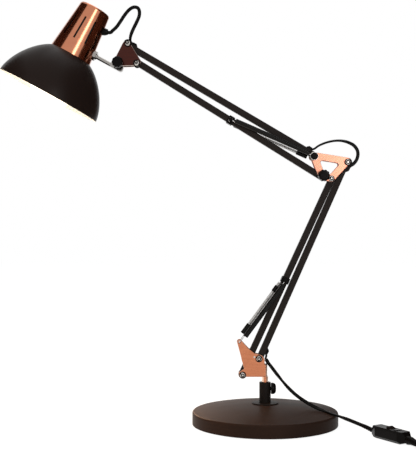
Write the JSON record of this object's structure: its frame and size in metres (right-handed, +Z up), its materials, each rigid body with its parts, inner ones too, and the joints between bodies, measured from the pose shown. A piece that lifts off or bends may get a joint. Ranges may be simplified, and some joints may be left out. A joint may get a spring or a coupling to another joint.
{
  "type": "architect desk lamp",
  "caption": "Architect desk lamp: round weighted foot, turning turret, parallel-bar arms with springs, elbow and head brackets, tilting metal shade with bulb, and a mains cord.",
  "frame": {"origin": "centre of the round foot's underside, on the surface that the lamp stands on", "axes": "+Z up along the post, +X to the right in the plane of the arms, away from the shade, +Y away from the viewer"},
  "size_m": [0.7141, 0.2809, 0.6331],
  "materials": {
    "enamel": "satin black enamel",
    "weight_iron": "rough cast",
    "pad_rubber": "matt",
    "zinc_steel": "zinc plated",
    "knob_plastic": "fine grained black",
    "copper_bright": "bright copper-coloured plate",
    "washer_nylon": "black nylon",
    "cord_pvc": "soft sheen",
    "bar_black": "black, finely ribbed",
    "sleeve_black": "black sleeve",
    "spring_steel": "bright wire",
    "copper_pale": "pale copper-coloured plate",
    "copper_dark": "dark reddish copper-coloured plate",
    "link_chrome": "polished",
    "copper_polished": "polished copper-coloured",
    "shade_enamel": "satin black outside, white inside",
    "holder_black": "black, heatproof",
    "bulb_opal": "opal",
    "cap_brass": "plain",
    "switch_plastic": "black",
    "pin_brass": "bright"
  },
  "bodies": {
    "base": {"foot_shell": "enamel", "foot_weight": "weight_iron", "foot_pad": "pad_rubber", "foot_flange": "enamel", "post_tube": "enamel", "post_nut": "zinc_steel", "cord_runs": "cord_pvc", "switch_body": "switch_plastic", "cord_coil": "cord_pvc", "plug_body": "switch_plastic", "plug_pins": "pin_brass"},
    "post_knob": {"post_knob": "knob_plastic"},
    "switch_rocker": {"switch_rocker": "switch_plastic"},
    "turret": {"turret_bracket": "copper_bright", "turret_pin": "copper_bright", "turret_screws": "zinc_steel", "turret_washers": "washer_nylon", "turret_cable_clip": "knob_plastic", "cable_exit_lead": "cord_pvc"},
    "lower_bar_rear": {"lower_bar_rear": "bar_black", "lower_cable": "cord_pvc", "lower_cable_grommets": "knob_plastic"},
    "lower_bar_front": {"lower_bar_front": "bar_black", "lower_spring_clip": "knob_plastic"},
    "lower_springs": {"lower_spring_front": "sleeve_black", "lower_spring_rear": "spring_steel", "lower_spring_sleeves": "sleeve_black"},
    "elbow": {"elbow_plate_front": "copper_pale", "elbow_plate_rear": "copper_pale", "elbow_screws": "zinc_steel", "elbow_washers": "washer_nylon", "elbow_pins": "zinc_steel", "elbow_pin_caps": "knob_plastic", "cable_elbow_loop": "cord_pvc"},
    "elbow_knob": {"elbow_knob": "knob_plastic"},
    "upper_bar_top": {"upper_bar_top": "bar_black", "upper_cable": "cord_pvc", "upper_cable_grommets": "knob_plastic"},
    "upper_bar_bottom": {"upper_bar_bottom": "bar_black", "upper_spring_clip": "knob_plastic"},
    "upper_springs": {"upper_spring_front": "sleeve_black", "upper_spring_rear": "spring_steel", "upper_sleeves_near": "sleeve_black"},
    "upper_spring_ends": {"upper_sleeves_far": "sleeve_black"},
    "head_bracket": {"head_plate_front": "copper_dark", "head_plate_rear": "copper_dark", "head_screws": "zinc_steel", "head_washers": "washer_nylon", "cable_head_loop": "cord_pvc"},
    "head_knob": {"head_knob": "knob_plastic"},
    "head_link": {"head_link": "link_chrome"},
    "head": {"neck_boss": "link_chrome", "neck_cup": "copper_polished", "shade": "shade_enamel", "lampholder": "holder_black", "bulb_glass": "bulb_opal", "bulb_cap": "cap_brass", "cable_gland": "knob_plastic"}
  },
  "joints": [
    {"name": "post_knob_turn", "type": "hinge", "parent": "base", "child": "post_knob", "pos_m": [0.0092, 0, 0.054], "axis": [1, 0, 0], "range_deg": [-180, 180]},
    {"name": "switch_rocker_tilt", "type": "hinge", "parent": "base", "child": "switch_rocker", "pos_m": [0.17146, -0.11638, 0.0146], "axis": [-0.855, -0.5186, 0], "range_deg": [0, 10]},
    {"name": "turret_swivel", "type": "hinge", "parent": "base", "child": "turret", "pos_m": [0, 0, 0.0635], "axis": [0, 0, 1], "range_deg": [-150, 150], "deforming": ["cord_runs"]},
    {"name": "lower_arm_tilt", "type": "hinge", "parent": "turret", "child": "lower_bar_rear", "pos_m": [-0.0094, 0, 0.0994], "axis": [0, -1, 0], "range_deg": [0, 50], "deforming": ["cable_exit_lead"]},
    {"name": "lower_front_bar_pivot", "type": "hinge", "parent": "turret", "child": "lower_bar_front", "pos_m": [-0.03379, 0, 0.07501], "axis": [0, -1, 0], "range_deg": [-1, 51]},
    {"name": "lower_spring_swing", "type": "hinge", "parent": "turret", "child": "lower_springs", "pos_m": [-0.03839, 0, 0.12361], "axis": [0, -1, 0], "range_deg": [-1, 71], "deforming": ["lower_spring_front", "lower_spring_rear"]},
    {"name": "elbow_level", "type": "hinge", "parent": "lower_bar_rear", "child": "elbow", "pos_m": [0.12311, 0, 0.39287], "axis": [0, -1, 0], "range_deg": [-51, 1], "deforming": ["cable_elbow_loop"]},
    {"name": "upper_arm_tilt", "type": "hinge", "parent": "elbow", "child": "upper_bar_top", "pos_m": [0.07271, 0, 0.40147], "axis": [0, -1, 0], "range_deg": [-8, 60], "deforming": ["cable_elbow_loop"]},
    {"name": "upper_bottom_bar_pivot", "type": "hinge", "parent": "elbow", "child": "upper_bar_bottom", "pos_m": [0.08597, 0, 0.37224], "axis": [0, -1, 0], "range_deg": [-9, 61]},
    {"name": "upper_spring_swing", "type": "hinge", "parent": "elbow", "child": "upper_springs", "pos_m": [0.07271, 0, 0.40147], "axis": [0, -1, 0], "range_deg": [-9, 65], "deforming": ["upper_spring_front", "upper_spring_rear"]},
    {"name": "upper_spring_stretch", "type": "slide", "parent": "upper_springs", "child": "upper_spring_ends", "axis": [-0.917, 0, 0.399], "range_m": [-0.005, 0.031], "deforming": ["upper_spring_front", "upper_spring_rear"]},
    {"name": "elbow_knob_turn", "type": "hinge", "parent": "elbow", "child": "elbow_knob", "pos_m": [0.08597, -0.018, 0.37224], "axis": [0, 1, 0], "range_deg": [-180, 180]},
    {"name": "head_level", "type": "hinge", "parent": "upper_bar_top", "child": "head_bracket", "pos_m": [-0.20529, 0, 0.56983], "axis": [0, -1, 0], "range_deg": [-61, 9], "deforming": ["cable_head_loop"]},
    {"name": "head_tilt", "type": "hinge", "parent": "head_bracket", "child": "head_link", "pos_m": [-0.21959, 0, 0.54023], "axis": [0, -1, 0], "range_deg": [-45, 35], "deforming": ["cable_head_loop"]},
    {"name": "head_knob_turn", "type": "hinge", "parent": "head_bracket", "child": "head_knob", "pos_m": [-0.21959, -0.018, 0.54023], "axis": [0, 1, 0], "range_deg": [-180, 180]},
    {"name": "head_swivel", "type": "hinge", "parent": "head_link", "child": "head", "pos_m": [-0.25364, 0, 0.55151], "axis": [0.878, 0, -0.4787], "range_deg": [-60, 60], "deforming": ["cable_head_loop"]}
  ],
  "couplings": [
    {"joint": "lower_front_bar_pivot", "follows": "lower_arm_tilt", "ratio": 1},
    {"joint": "elbow_level", "follows": "lower_arm_tilt", "ratio": -1},
    {"joint": "lower_spring_swing", "follows": "lower_arm_tilt", "ratio": 1.38},
    {"joint": "upper_bottom_bar_pivot", "follows": "upper_arm_tilt", "ratio": 1},
    {"joint": "head_level", "follows": "upper_arm_tilt", "ratio": -1},
    {"joint": "upper_spring_swing", "follows": "upper_arm_tilt", "ratio": 1.057},
    {"joint": "upper_spring_stretch", "follows": "upper_arm_tilt", "m_per_rad": 0.028}
  ]
}
